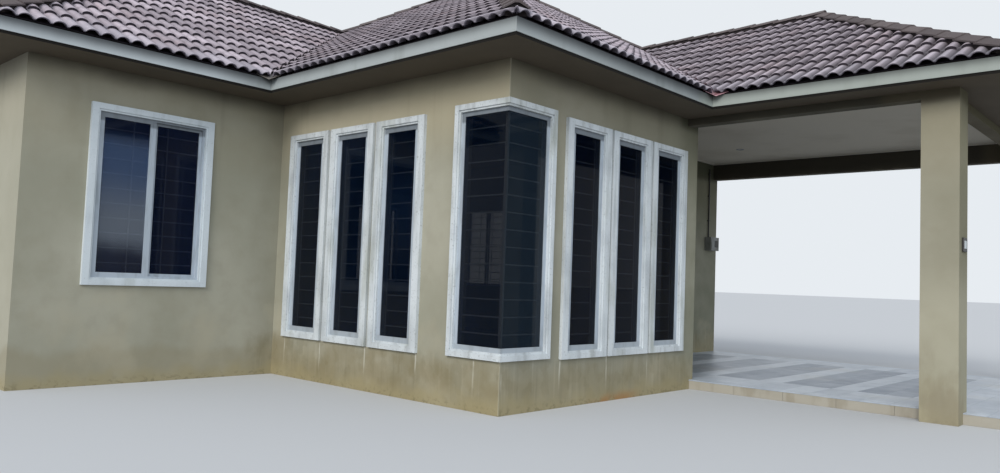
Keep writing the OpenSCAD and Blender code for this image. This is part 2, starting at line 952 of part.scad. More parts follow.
ground_floor();
porch_floor();
bay_front_wall();
bay_side_wall();
bay_return_wall();
porch_wall();
wing_front_wall();
left_wall();
back_wall();
right_wall();
left_column();
right_column();
left_beam();
front_beam();
right_beam();
porch_ceiling();
eaves_lining();
fascia();
main_roof();
wing_roof();
porch_roof();
main_roof_caps();
wing_roof_caps();
porch_roof_caps();
corner_surround();
corner_frame();
corner_glass();
bay_side_surrounds();
bay_side_frames();
bay_side_glass();
bay_front_surrounds();
bay_front_frames();
bay_front_glass();
wing_surround();
wing_frame();
wing_glass();
end_surrounds();
end_frames();
end_glass();
back_surrounds();
back_frames();
back_glass();
door_frame();
entrance_door();
meter_box();
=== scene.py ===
import json
import math
import random

import bmesh
import bpy
from mathutils import Matrix, Vector


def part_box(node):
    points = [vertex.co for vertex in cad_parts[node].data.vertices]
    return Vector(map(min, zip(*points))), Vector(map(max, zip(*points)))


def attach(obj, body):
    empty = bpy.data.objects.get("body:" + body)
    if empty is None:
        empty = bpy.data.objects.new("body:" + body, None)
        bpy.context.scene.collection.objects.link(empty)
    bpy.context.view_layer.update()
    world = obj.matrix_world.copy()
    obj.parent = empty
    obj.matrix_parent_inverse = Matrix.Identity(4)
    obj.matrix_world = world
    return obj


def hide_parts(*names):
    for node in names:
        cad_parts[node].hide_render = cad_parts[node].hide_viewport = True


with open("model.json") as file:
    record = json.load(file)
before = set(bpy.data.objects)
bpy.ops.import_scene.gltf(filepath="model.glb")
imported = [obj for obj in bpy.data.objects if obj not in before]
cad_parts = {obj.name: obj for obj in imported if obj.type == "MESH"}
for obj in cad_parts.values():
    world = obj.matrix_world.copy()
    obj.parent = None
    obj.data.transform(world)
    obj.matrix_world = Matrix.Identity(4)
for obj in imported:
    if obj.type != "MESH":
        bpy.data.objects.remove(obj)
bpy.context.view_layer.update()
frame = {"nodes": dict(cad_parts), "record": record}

UP = Vector((0, 0, 1))
BODY = "root"

# The camera that was matched to the photograph: the picture's width and the focal length in
# pixels, the sensor in millimetres, and a place measured from the foot of the glazed corner
PHOTO_W = 1000
SENSOR = 36.0
FOCAL_PIXELS = 802.83
CAMERA_PLACE = (-5.564, -5.029, 1.246)
CAMERA_YAW = math.radians(42.434)
CAMERA_PITCH = math.radians(3.225)
CAMERA_ROLL = math.radians(2.136)

# Plan lines of the roof's edges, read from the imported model
MAIN_LOW, MAIN_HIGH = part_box("main_roof")
WING_LOW, PORCH_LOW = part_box("wing_roof")[0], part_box("porch_roof")[0]
LEFT, BAY_X, PORCH_X, RIGHT = WING_LOW.x, MAIN_LOW.x, PORCH_LOW.x, MAIN_HIGH.x
FRONT, BAY_Y, WING_Y, BACK = PORCH_LOW.y, MAIN_LOW.y, WING_LOW.y, MAIN_HIGH.y
# The covering's depth at the eaves, from its underside up to the tops of the tiles
COVER = 0.100
EAVE_Z = MAIN_LOW.z + COVER
PITCH = math.radians(30)
MAIN_RUN = (RIGHT - BAY_X) / 2
WING_RUN = (BACK - WING_Y) / 2
PORCH_RUN = (RIGHT - PORCH_X) / 2

# The glazed corner, from which distances on the walls are measured
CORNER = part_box("bay_front_wall")[0]


def spot(x, y, z=0.0):
    """A place measured from the foot of the glazed corner: along the front, inwards and up."""
    return CORNER + Vector((x, y, z))


def roof_place(x, y, run=0.0):
    """A place on the roof, a run up the slope from the eaves."""
    return Vector((x, y, EAVE_Z + math.tan(PITCH) * run))


MAIN_FRONT = roof_place(BAY_X + MAIN_RUN, BAY_Y + MAIN_RUN, MAIN_RUN)
MAIN_BACK = roof_place(BAY_X + MAIN_RUN, BACK - MAIN_RUN, MAIN_RUN)
WING_END = roof_place(LEFT + WING_RUN, WING_Y + WING_RUN, WING_RUN)
WING_JOIN = roof_place(BAY_X + WING_RUN, WING_Y + WING_RUN, WING_RUN)
PORCH_END = roof_place(PORCH_X + PORCH_RUN, FRONT + PORCH_RUN, PORCH_RUN)
PORCH_JOIN = roof_place(PORCH_X + PORCH_RUN, BAY_Y + PORCH_RUN, PORCH_RUN)

# Roof tiles: two rolls on each, laid in courses
TILE_W = 0.30
ROLL_PITCH = 0.15
ROLL_H = 0.036
ROLL_SHARE = 0.80
ROLL_FULLNESS = 0.5
ROLL_STEPS = 14
GAUGE = 0.34
TILE_STEP = 0.030
TILE_LAP = 0.012
TILE_SKIRT = 0.010
TILE_T = 0.018
NOSE_ROUND = 0.007
DARK_FROM = 0.3
# Length of the strip of dirt and painted shade below each course's nose
DIRT_AND_SHADE_REACH = 0.026
COURSE_WANDER = 0.004
TILE_ROCK = 0.0015
NOSE_BACK = 0.002
UNDERSIDE = 0.10
VALLEY_GAP = 0.024
# The sheet under the tiles, painted dark as the shade beneath them
SHEET_DROP = 0.086
SHEET_START = 0.05
SHEET_T = 0.003
# Material numbers of a slope: on the tiles' face, on the noses, in dirt and painted shade, and at
# the eaves
FACE, NOSE, DIRT_AND_SHADE, EAVES = range(4)
# What a tile can reach, in courses from its own, and how near a cut it is cut too
TILE_REACH = (-0.05, 1.08)
CUT_MARGIN = 0.03

# Ridge and hip caps: thin folded shells on a bed of mortar
CAP_HALF = 0.118
CAP_FLAT = 0.020
CAP_RISE = 0.031
CAP_FALL = 0.024
CAP_T = 0.015
CAP_LENGTH = 0.36
CAP_STEP = 0.016
CAP_LAP = 0.03
CAP_WANDER = 0.003
CAP_START = 0.125

FASCIA_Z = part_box("fascia")[0].z


def rgb(*screen):
    """A colour written as 0 to 255 screen values, as the linear one that shaders take."""
    shares = [value / 255 for value in screen]
    return (*(s / 12.92 if s <= 0.04045 else ((s + 0.055) / 1.055) ** 2.4 for s in shares), 1.0)


# Building pieces


def ring(x, y, z, radius, sides, first=0.0):
    """Points spread evenly round an upright line."""
    turns = [first + 2 * math.pi * i / sides for i in range(sides)]
    return [Vector((x + radius * math.cos(t), y + radius * math.sin(t), z)) for t in turns]


def add_object(name, data):
    made = bpy.data.objects.new(name, data)
    bpy.context.scene.collection.objects.link(made)
    return made


class Shape:
    """Points and faces of one piece, with a material number and a tint for each face."""

    def __init__(self):
        self.points, self.faces, self.paints, self.tints = [], [], [], []

    def add(self, points, faces, paint=0, tint=0.5):
        first = len(self.points)
        self.points += [tuple(p) for p in points]
        self.faces += [[first + i for i in face] for face in faces]
        self.paints += paint if isinstance(paint, list) else [paint] * len(faces)
        self.tints += [tint] * len(faces)

    def block(self, low, high, paint=0, tint=0.5):
        """A box between two corners."""
        self.bar(low, (high[0] - low[0], 0, 0), (0, high[1] - low[1], 0),
                 (0, 0, high[2] - low[2]), paint, tint)

    def bar(self, corner, a, b, c, paint=0, tint=0.5):
        """A box from a corner along three edges that form a right-handed set."""
        o, a, b, c = (Vector(v) for v in (corner, a, b, c))
        points = [o, o + a, o + a + b, o + b, o + c, o + a + c, o + a + b + c, o + b + c]
        faces = [(3, 2, 1, 0), (4, 5, 6, 7), (0, 1, 5, 4), (1, 2, 6, 5), (2, 3, 7, 6), (3, 0, 4, 7)]
        self.add(points, faces, paint, tint)

    def loft(self, sections, paint=0, tint=0.5, ends=True):
        """Skin over closed sections of as many points each; its ends are closed by default."""
        count = len(sections[0])
        points = [p for section in sections for p in section]
        faces = []
        for a in range(0, len(points) - count, count):
            for i in range(count):
                j, b = (i + 1) % count, a + count
                faces.append((a + i, a + j, b + j, b + i))
        if ends:
            faces.append(tuple(reversed(range(count))))
            faces.append(tuple(range(len(points) - count, len(points))))
        self.add(points, faces, paint, tint)

    def cut(self, planes, wall=0.0, down=UP):
        """Cuts the shape by planes, given as a place and the direction that is taken away.
        A cut can leave a wall, a strip that hangs down from its edge."""
        bm = bmesh.new()
        tint = bm.faces.layers.float.new("tint")
        made = [bm.verts.new(p) for p in self.points]
        for face, paint, shade in zip(self.faces, self.paints, self.tints):
            new = bm.faces.new([made[i] for i in face])
            new.material_index = paint
            new[tint] = shade
        for place, away, leaves_wall in planes:
            found = bmesh.ops.bisect_plane(
                bm, geom=bm.verts[:] + bm.edges[:] + bm.faces[:], dist=1e-6,
                plane_co=place, plane_no=away, clear_outer=True)
            edges = [e for e in found["geom_cut"] if isinstance(e, bmesh.types.BMEdge)]
            if leaves_wall and wall > 0:
                grown = bmesh.ops.extrude_edge_only(bm, edges=edges)["geom"]
                for v in grown:
                    if isinstance(v, bmesh.types.BMVert):
                        v.co -= down * wall
        bm.verts.index_update()
        result = Shape()
        result.points = [tuple(v.co) for v in bm.verts]
        result.faces = [[v.index for v in f.verts] for f in bm.faces]
        result.paints = [f.material_index for f in bm.faces]
        result.tints = [f[tint] for f in bm.faces]
        bm.free()
        return result

    def join(self, other):
        first = len(self.points)
        self.points += other.points
        self.faces += [[first + i for i in face] for face in other.faces]
        self.paints += other.paints
        self.tints += other.tints

    def piece(self, name, slot, paints, replaces=(), smooth=None, bevel=0.0):
        """Makes the piece, which stands for the named nodes, smooth below an angle in degrees."""
        mesh = bpy.data.meshes.new(name)
        mesh.from_pydata(self.points, [], self.faces)
        for paint in paints:
            mesh.materials.append(PAINT[paint])
        mesh.polygons.foreach_set("material_index", self.paints)
        layer = mesh.attributes.new("tint", "FLOAT", "FACE")
        layer.data.foreach_set("value", self.tints)
        mesh.validate()
        piece = add_object(name, mesh)
        if smooth is not None:
            mesh.polygons.foreach_set("use_smooth", [True] * len(mesh.polygons))
            mesh.set_sharp_from_angle(angle=math.radians(smooth))
        if bevel > 0:
            rounding = piece.modifiers.new("rounding", "BEVEL")
            rounding.width = bevel
            rounding.segments = 2
            rounding.limit_method = "ANGLE"
        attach(piece, BODY)
        if replaces:
            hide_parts(*replaces)


def solids(node):
    """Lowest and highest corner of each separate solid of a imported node."""
    mesh = frame["nodes"][node].data
    keys = [tuple(round(c, 4) for c in v.co) for v in mesh.vertices]
    groups = []
    for face in mesh.polygons:
        joined = {keys[i] for i in face.vertices}
        for group in [g for g in groups if g & joined]:
            groups.remove(group)
            joined |= group
        groups.append(joined)
    boxes = [[Vector([end(c) for c in zip(*group)]) for end in (min, max)] for group in groups]
    return sorted(boxes, key=lambda box: tuple(box[0]))


# Materials

# Sockets of a mix node that is set to colours
MIX_FROM, MIX_TO, MIX_RESULT = 6, 7, 2


class Nodes:
    """A node tree that is built up node by node."""

    def __init__(self, tree):
        self.tree = tree

    def feed(self, sockets, values):
        """Links sockets to others, or gives them values, by their names or numbers."""
        for key, value in values.items():
            if isinstance(value, bpy.types.NodeSocket):
                self.tree.links.new(value, sockets[key])
            else:
                sockets[key].default_value = value

    def node(self, kind, inputs, **settings):
        """Outputs of a new node."""
        made = self.tree.nodes.new("ShaderNode" + kind)
        for name, value in settings.items():
            setattr(made, name, value)
        self.feed(made.inputs, inputs)
        return made.outputs

    def math(self, kind, a, b=0.0):
        return self.node("Math", {0: a, 1: b}, operation=kind)[0]

    def mix(self, amount, a, b):
        """One colour where the amount is 0, and another where it is 1."""
        inputs = {"Factor": amount, MIX_FROM: a, MIX_TO: b}
        return self.node("Mix", inputs, data_type="RGBA")[MIX_RESULT]

    def seen(self):
        """1 for what is seen directly, in a reflection or through glass, and 0 for light."""
        rays = self.node("LightPath", {})
        indirect = self.math("MAXIMUM", rays["Is Glossy Ray"], rays["Is Transmission Ray"])
        return self.math("MAXIMUM", rays["Is Camera Ray"], indirect)


class Paint(Nodes):
    """One procedural material: a coat, and stains that are laid over it. Its base is the colour
    so far, a mask runs from 0 to 1, and lengths are in metres."""

    def __init__(self, name, roughness, gloss=0.5, **settings):
        self.material = bpy.data.materials.new(name)
        self.material.use_nodes = True
        super().__init__(self.material.node_tree)
        self.shader = self.tree.nodes["Principled BSDF"].inputs
        settings |= {"Roughness": roughness, "Specular IOR Level": gloss}
        self.feed(self.shader, settings)
        self.place = self.node("TexCoord", {})["Object"]
        self.base = None

    def noise(self, scale, detail=3.0, stretch=(1, 1, 1), shift=(0, 0, 0)):
        """Soft noise from about 0 to 1; a stretch under 1 draws it out along that axis."""
        place = self.node("Mapping", {"Scale": stretch, "Location": shift, "Vector": self.place})
        inputs = {"Scale": scale, "Detail": detail, "Vector": place["Vector"]}
        return self.node("TexNoise", inputs)["Fac"]

    def spots(self, scale):
        """Distance from scattered points, for grit and pits."""
        return self.node("TexVoronoi", {"Scale": scale, "Vector": self.place})["Distance"]

    def along(self, axis):
        """One coordinate of the place on the object."""
        return self.node("SeparateXYZ", {0: self.place})[axis]

    def normal(self, axis):
        """One coordinate of the direction in which a face looks."""
        return self.node("SeparateXYZ", {0: self.node("NewGeometry", {})["True Normal"]})[axis]

    def facing(self, axis, low=-0.5, high=-0.9):
        """Faces by the way they look: by default those that look down the axis."""
        return self.band(self.normal(axis), low, high)

    def band(self, value, low, high):
        """Runs smoothly from 0 where the value is low to 1 where it is high."""
        inputs = {"Value": value, "From Min": low, "From Max": high}
        return self.node("MapRange", inputs, interpolation_type="SMOOTHSTEP")["Result"]

    def cloud(self, low, high, *noise):
        """Patches of noise, from a low level of it to a high one."""
        return self.band(self.noise(*noise), low, high)

    def past(self, axis, start, end):
        """Runs from 0 to 1 between two distances from the glazed corner, along X or Y."""
        start, end = (spot(place, place)["XY".index(axis)] for place in (start, end))
        return self.band(self.along(axis), start, end)

    def ragged(self, value, amount, *noise):
        """A value that noise moves to and fro."""
        return self.math("ADD", value, self.product(self.noise(*noise), amount))

    def runs_below(self, axis, edges, half):
        """Thin upright lines, a little crooked, at places along an axis."""
        crooked, shift = self.ragged(self.along(axis), 0.03, 3.0, 3), 0.015
        lines = 0.0
        for edge in edges:
            off = self.math("ABSOLUTE", self.math("SUBTRACT", crooked, edge + shift))
            lines = self.math("MAXIMUM", lines, self.band(off, half, half * 0.4))
        return lines

    def tint(self):
        """The number that each face of a piece carries."""
        return self.node("Attribute", {}, attribute_name="tint")["Fac"]

    def product(self, result, *factors):
        for factor in factors:
            result = self.math("MULTIPLY", result, factor)
        return result

    def coat(self, mask, first, second):
        """The first coat, from one colour to another by a mask."""
        self.base = self.mix(mask, rgb(*first), rgb(*second))

    def stain(self, colour, share, *masks):
        """Lays a share of a colour over the base, where all the masks are."""
        self.base = self.mix(self.product(*masks, share), self.base, rgb(*colour))

    def rough(self, value, low, high):
        """Roughness that follows a value between two ends."""
        ramp = self.node("MapRange", {"Value": value, "To Min": low, "To Max": high})
        self.feed(self.shader, {"Roughness": ramp["Result"]})

    def done(self, relief, depth, strength):
        """Gives the shader its colour and a fine relief, and returns the material."""
        bump = self.node("Bump", {"Strength": strength, "Distance": depth, "Height": relief})
        self.feed(self.shader, {"Base Color": self.base, "Normal": bump["Normal"]})
        return self.material


def plaster_paint():
    """Khaki masonry paint: mottled, with painted light and shade by the way faces turn and painted
    shade below the eaves, stained and streaked at the foot.
    """
    p = Paint("khaki_plaster", 0.92, 0.2)
    z, front, left = p.along("Z"), p.facing("Y"), p.facing("X")
    p.coat(p.cloud(0.3, 0.7, 0.8, 6), (150, 148, 131), (168, 165, 149))
    p.stain((144, 140, 122), 0.3, p.cloud(0.42, 0.75, 5.0, 6))
    # The walls are painted warmer and a little darker higher up, a tint of the shade under the
    # eaves;
    # the bay's side is painted paler there as light, and its front darker as shade
    p.stain((150, 139, 112), 0.25, p.band(z, 2.2, 2.9))
    bay = p.product(p.past("X", -0.5, -0.1), p.past("X", 3.0, 2.8))
    p.stain((200, 188, 160), 0.4, left, bay, p.band(z, 2.4, 3.1))
    p.stain((70, 66, 54), 0.14, front, bay)
    # Long dark runs of rain under the eaves, then painted shade just below the eaves and deeper
    # under the porch's beams
    runs = p.cloud(0.58, 0.8, 4.0, 5, (1, 1, 0.08), (3, 1, 0))
    p.stain((96, 92, 78), 0.25, runs, p.band(z, 2.0, 3.2))
    ragged = p.ragged(z, 0.12, 1.6, 5)
    p.stain((50, 47, 42), 0.75, p.band(ragged, 3.22, 3.46))
    p.stain((50, 46, 40), 0.75, p.past("X", 3.1, 3.3), p.band(ragged, 3.26, 3.36))
    # Faces that look forwards near the porch hold green damp and are painted darker as shade, and
    # the left face of the wing's end is painted paler as light
    p.stain((92, 96, 76), 0.55, p.past("X", 2.4, 3.7), front, p.cloud(0.1, 0.6, 1.1, 5))
    p.stain((190, 187, 172), 0.3, left, p.past("X", -2.7, -2.9))
    foot_stains(p, z, front, left)
    # The porch columns are browner above and paler lower down, painted darker on their fronts as
    # shade, and patchy at the foot
    columns = p.product(p.past("X", 3.0, 3.1), p.past("Y", -2.2, -2.4))
    p.stain((126, 114, 88), 0.2, columns)
    p.stain((104, 98, 74), 0.25, columns, front)
    p.stain((190, 186, 164), 0.38, p.band(z, 1.8, 0.9), columns)
    patch = p.cloud(0.42, 0.62, 3.1, 6, (1, 1, 0.5), (5, 2, 8))
    p.stain((124, 112, 92), 0.36, patch, p.band(z, 1.0, 0.5), columns)
    # A thin painted highlight runs down the corner's edge, below and above its window, where the
    # plaster is also worn paler
    p.stain((190, 186, 168), 0.3, p.past("X", 0.014, 0.004), p.past("Y", 0.014, 0.004))
    p.rough(p.noise(12.0), 0.85, 0.98)
    return p.done(p.ragged(p.noise(6.0, 4), 0.35, 90.0, 2), 0.004, 0.5)


def foot_stains(p, z, front, left):
    """Brown damp and streaks below the windows, lime runs from their corners and splashed mud."""
    groups = solids("bay_side_surrounds"), solids("bay_front_surrounds")
    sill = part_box("bay_side_surrounds")[0].z
    bay = p.past("X", -0.5, -0.1)
    ragged = p.ragged(z, -0.4, 2.6, 6, (1, 1, 0.5))
    p.stain((146, 137, 110), 0.7, p.band(ragged, sill - 0.15, sill - 0.5), bay)
    p.stain((142, 134, 110), 0.5, p.band(ragged, 0.25, 0.1), p.math("SUBTRACT", 1.0, bay))
    below = p.product(p.band(z, sill + 0.1, sill - 0.1), bay)
    blotch = p.cloud(0.44, 0.66, 3.4, 6, (1, 1, 0.7), (2, 7, 1))
    p.stain((118, 111, 86), 0.3, blotch, below)
    pale = p.cloud(0.5, 0.68, 2.1, 6, (1, 1, 0.8), (9, 4, 2))
    p.stain((172, 164, 142), 0.4, pale, p.band(z, 1.5, 0.7))
    dark_streaks = p.cloud(0.5, 0.7, 15.0, 4, (1, 1, 0.05), (1, 3, 0))
    p.stain((110, 104, 82), 0.18, dark_streaks, below)
    pale_streaks = p.cloud(0.58, 0.7, 21.0, 3, (1, 1, 0.05), (6, 8, 0))
    p.stain((184, 178, 158), 0.16, pale_streaks, below)
    crust = p.cloud(0.5, 0.6, 7.0, 8, (1, 1, 0.8), (3, 3, 6))
    p.stain((118, 110, 84), 0.22, crust, below)
    brown = p.cloud(0.38, 0.56, 1.8, 8, (1, 1, 1.2), (2, 5, 3))
    p.stain((128, 116, 84), 0.45, left, below, brown)
    # Lime that ran down from the lower corners of the windows
    side = [low.y + 0.02 for low, _ in groups[0]]
    side += [groups[0][-1][1].y - 0.03, spot(0, 0.34).y]
    ahead = [low.x + 0.02 for low, _ in groups[1]]
    ahead += [spot(0.48, 0).x, spot(0.02, 0).x]
    lime = p.math("MAXIMUM", p.product(p.runs_below("Y", side, 0.013), left),
                  p.product(p.runs_below("X", ahead, 0.013), front))
    broken = p.cloud(0.36, 0.56, 2.4, 6, (1, 1, 1), (8, 1, 3))
    reach = p.product(p.band(z, sill + 0.02, sill - 0.02), p.band(ragged, -0.1, 0.25), broken)
    p.stain((206, 203, 190), 0.65, lime, reach)
    # Yellow silt, mud and a little rust where rain splashes up
    p.stain((160, 148, 112), 0.6, p.band(p.ragged(z, -0.3, 4.0, 6), 0.06, -0.14))
    mud = p.cloud(0.52, 0.64, 19.0, 6, (1, 1, 1.4))
    p.stain((100, 92, 66), 0.4, mud, p.band(z, 0.11, 0.0))
    away = p.math("ABSOLUTE", p.math("SUBTRACT", p.along("X"), spot(1.9, 0).x))
    rust = p.cloud(0.4, 0.6, 3.0, 5)
    p.stain((160, 110, 62), 0.6, rust, p.band(z, 0.13, 0.0), p.band(away, 0.6, 0.2))


def white_paint():
    """White plaster mouldings, with grey and greenish runs of rain and dirt."""
    p = Paint("white_moulding", 0.8, 0.25)
    p.base = rgb(208, 214, 217)
    p.stain((146, 150, 150), 0.5, p.cloud(0.46, 0.72, 11.0, 6, (1, 1, 0.12)))
    p.stain((160, 167, 172), 0.4, p.cloud(0.42, 0.7, 2.6, 5))
    p.stain((146, 150, 134), 0.5, p.cloud(0.54, 0.74, 3.4, 6, (1, 1, 0.3), (4, 4, 4)))
    p.stain((120, 121, 116), 0.4, p.cloud(0.58, 0.7, 52.0, 5))
    p.stain((206, 216, 222), 0.45, p.past("X", -0.4, -0.8))
    return p.done(p.noise(70.0, 3), 0.002, 0.4)


def aluminium_paint():
    """Frames with a pale blue-grey coating with dusty patches, greyer along the sill, and painted
    shade under the head.
    """
    p = Paint("pale_aluminium", 0.38, 0.4)
    z = p.along("Z")
    low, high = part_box("bay_side_frames")
    p.base = rgb(172, 182, 192)
    p.stain((126, 132, 136), 0.45, p.cloud(0.45, 0.7, 14.0, 5, (1, 1, 0.2)))
    # Painted shade under the head, and a greyer band along the sill
    p.stain((84, 89, 94), 0.7, p.band(z, high.z - 0.08, high.z - 0.05))
    p.stain((146, 151, 153), 0.4, p.band(z, low.z + 0.07, low.z + 0.05))
    p.rough(p.noise(30.0), 0.3, 0.5)
    return p.done(p.noise(140.0, 2), 0.0004, 0.3)


def glass_paint(name, gloss, dark, pale, front=None, veil=None):
    """Dark tinted glass with faint smears. Panes that look forwards can be given a paler colour of
    their own, painted light, and a veil is a hazy pane that ends at a place on X."""
    p = Paint(name, 0.03, gloss, Alpha=0.62)
    smears = p.cloud(0.45, 0.8, 1.6, 5, (1, 1, 0.5))
    p.coat(smears, dark, pale)
    # Panes that look forwards take the given paler colour as painted light
    if front is not None:
        p.stain(front, 1.0, p.facing("Y"))
    if veil is not None:
        low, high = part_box("wing_glass")
        z = p.ragged(p.along("Z"), 0.2, 2.2, 5)
        haze = p.product(p.band(z, high.z, high.z - 0.25), p.band(z, low.z + 0.25, low.z + 0.55),
                         p.band(p.along("X"), veil + 0.01, veil - 0.01))
        shade = p.mix(p.band(z, low.z + 0.6, low.z + 1.3), rgb(104, 112, 124), rgb(60, 80, 112))
        p.base = p.mix(haze, p.base, shade)
    p.rough(smears, 0.015, 0.05)
    return p.done(p.noise(0.9, 1), 0.002, 0.12)


def tile_paint(name, across):
    """Mauve-grey concrete tiles, each with its own tone. Dirt and painted shade lie in the pans
    between the rolls, which follow one another along the given axis, and painted shade lies on the
    sides that see little sun. The tiles are painted darker towards the porch as shade, and paler
    near the eaves as a painted highlight."""
    p = Paint(name, 0.88, 0.25)
    p.coat(p.tint(), (128, 116, 123), (196, 182, 190))
    p.stain((162, 134, 134), 0.45, p.cloud(0.5, 0.7, 1.7, 5))
    p.stain((104, 94, 98), 0.45, p.cloud(0.45, 0.75, 9.0, 5))
    p.stain((186, 180, 188), 0.3, p.band(p.spots(190.0), 0.1, 0.45))
    p.stain((78, 72, 76), 0.4, p.cloud(0.55, 0.78, 1.3, 6))
    # Dirt and painted shade in the pans between the rolls
    wave = p.math("SINE", p.product(p.along(across), math.pi / ROLL_PITCH))
    pans = p.band(p.ragged(p.math("ABSOLUTE", wave), 0.3, 14.0, 4), 0.9, 0.3)
    # Painted shade that deepens towards the porch
    painted_shade_towards_porch = p.past("X", -0.8, 1.4)
    p.stain((50, 45, 49), p.math("ADD", p.product(painted_shade_towards_porch, 0.45), 0.4), pans)
    # A painted highlight on the courses nearest the eaves
    painted_highlight_at_eaves = p.band(p.ragged(p.along("Z"), 0.2, 3.0, 4), EAVE_Z + 0.35, EAVE_Z + 0.1)
    p.stain((176, 177, 187), 0.3, painted_highlight_at_eaves)
    # Painted shade on the sides of the rolls that look forwards
    if across == "Y":
        p.stain((58, 52, 57), 0.6, p.facing("Y", -0.12, -0.5))
    p.stain((60, 54, 57), 0.06, painted_shade_towards_porch)
    return p.done(p.math("ADD", p.noise(60.0, 3), p.product(p.spots(150.0), 0.4)), 0.003, 0.6)


def cap_paint():
    """Ridge and hip caps, of the same concrete as the tiles but painted darker, partly as painted
    shade.
    """
    p = Paint("roof_cap", 0.88, 0.25)
    p.coat(p.tint(), (70, 63, 63), (100, 91, 90))
    p.stain((60, 53, 54), 0.5, p.cloud(0.45, 0.75, 7.0, 5))
    p.stain((140, 130, 132), 0.2, p.band(p.spots(170.0), 0.1, 0.5))
    return p.done(p.noise(60.0, 3), 0.003, 0.6)


def flashing_paint(name, clean, dirty):
    """Painted sheet metal in a valley."""
    p = Paint(name, 0.5, Metallic=0.2)
    p.coat(p.cloud(0.45, 0.7, 6.0, 5), clean, dirty)
    return p.done(p.noise(30.0, 2), 0.001, 0.4)


def fascia_paint():
    """Pale blue-grey boards with faint runs, darkened towards the tiles by painted shade and some
    grime, and painted darker towards the porch and on faces that look forwards as shade.
    """
    p = Paint("fascia_board", 0.75, 0.3)
    front = p.facing("Y")
    p.coat(p.noise(1.1, 4), (156, 162, 162), (170, 176, 177))
    p.stain((122, 127, 122), 0.35, p.cloud(0.5, 0.75, 5.0, 5, (1, 1, 0.1)))
    # Painted shade towards the porch, deeper on faces that look forwards
    painted_shade_towards_porch = p.past("X", -0.2, 1.6)
    p.stain((98, 105, 106), 0.2, painted_shade_towards_porch)
    p.stain((78, 84, 86), 0.15, painted_shade_towards_porch, front)
    # The wing's board is paler and bluer, the porch's a little greener
    p.stain((188, 195, 198), 0.8, p.past("X", -0.7, -1.3))
    p.stain((168, 175, 160), 0.4, p.past("X", 2.6, 2.8))
    # Painted shade under the tiles, with some grime, reaching lower on faces that look forwards
    ragged = p.ragged(p.along("Z"), 0.03, 3.0, 5, (1, 1, 0.2))
    ragged = p.math("ADD", ragged, p.product(front, 0.035))
    p.stain((36, 38, 42), 0.82, p.band(ragged, FASCIA_Z + 0.04, FASCIA_Z + 0.18))
    return p.done(p.noise(50.0, 2, (1, 1, 0.2)), 0.001, 0.4)


def lining_paint():
    """Dark boards under the eaves, with painted shade on their upright edges."""
    p = Paint("eaves_board", 0.85, 0.2)
    p.coat(p.noise(2.5, 5), (80, 73, 63), (95, 87, 75))
    # Painted shade on faces that are not level
    level = p.band(p.math("ABSOLUTE", p.normal("Z")), 0.4, 0.8)
    p.base = p.mix(level, rgb(26, 24, 21), p.base)
    return p.done(p.noise(30.0, 3), 0.002, 0.4)


def ceiling_paint():
    """Pale grey ceiling board with faint water marks."""
    p = Paint("ceiling_board", 0.85, 0.2)
    p.base = rgb(190, 184, 172)
    p.stain((162, 154, 140), 0.35, p.cloud(0.5, 0.72, 1.2, 5))
    return p.done(p.noise(80.0, 2), 0.001, 0.3)


def floor_tile_paint():
    """Glazed floor tiles: pale ones and blue-grey ones, by the tint that each carries."""
    p = Paint("floor_tile", 0.32, 0.4)
    p.coat(p.tint(), (104, 117, 136), (188, 197, 208))
    p.stain((136, 147, 162), 0.35, p.cloud(0.4, 0.75, 3.5, 6, (1, 2.2, 1)))
    p.stain((170, 164, 148), 0.3, p.cloud(0.5, 0.75, 0.9, 4))
    p.rough(p.noise(5.0, 4), 0.25, 0.5)
    return p.done(p.noise(3.0, 3), 0.0015, 0.2)


def riser_tile_paint():
    """Cream tiles on the riser of the porch floor."""
    p = Paint("riser_tile", 0.4, 0.35)
    p.coat(p.noise(2.5, 5, (1, 1, 3)), (164, 158, 144), (182, 177, 165))
    p.stain((138, 127, 106), 0.4, p.cloud(0.48, 0.66, 7.0, 5, (1, 1, 0.25)))
    return p.done(p.noise(40.0, 2), 0.001, 0.3)


def door_paint():
    """Brown varnished timber with its grain upright."""
    p = Paint("door_timber", 0.4, 0.4)
    grain = p.noise(28.0, 6, (1, 1, 0.08))
    p.coat(p.band(grain, 0.3, 0.7), (70, 42, 26), (118, 76, 48))
    p.stain((92, 62, 42), 0.3, p.cloud(0.4, 0.8, 1.5, 3))
    p.rough(grain, 0.32, 0.5)
    return p.done(grain, 0.0012, 0.4)


def meter_paint():
    """Weathered grey plastic."""
    p = Paint("meter_plastic", 0.55, 0.4)
    p.coat(p.cloud(0.4, 0.7, 9.0, 4, (1, 1, 0.3)), (140, 142, 140), (112, 112, 106))
    return p.done(p.noise(150.0, 2), 0.0004, 0.3)


def mottled_paint(name, roughness, gloss, mottle, first, second, relief, depth, strength):
    """A plain material in two colours, with a fine relief."""
    p = Paint(name, roughness, gloss)
    p.coat(p.noise(*mottle), first, second)
    return p.done(p.noise(*relief), depth, strength)


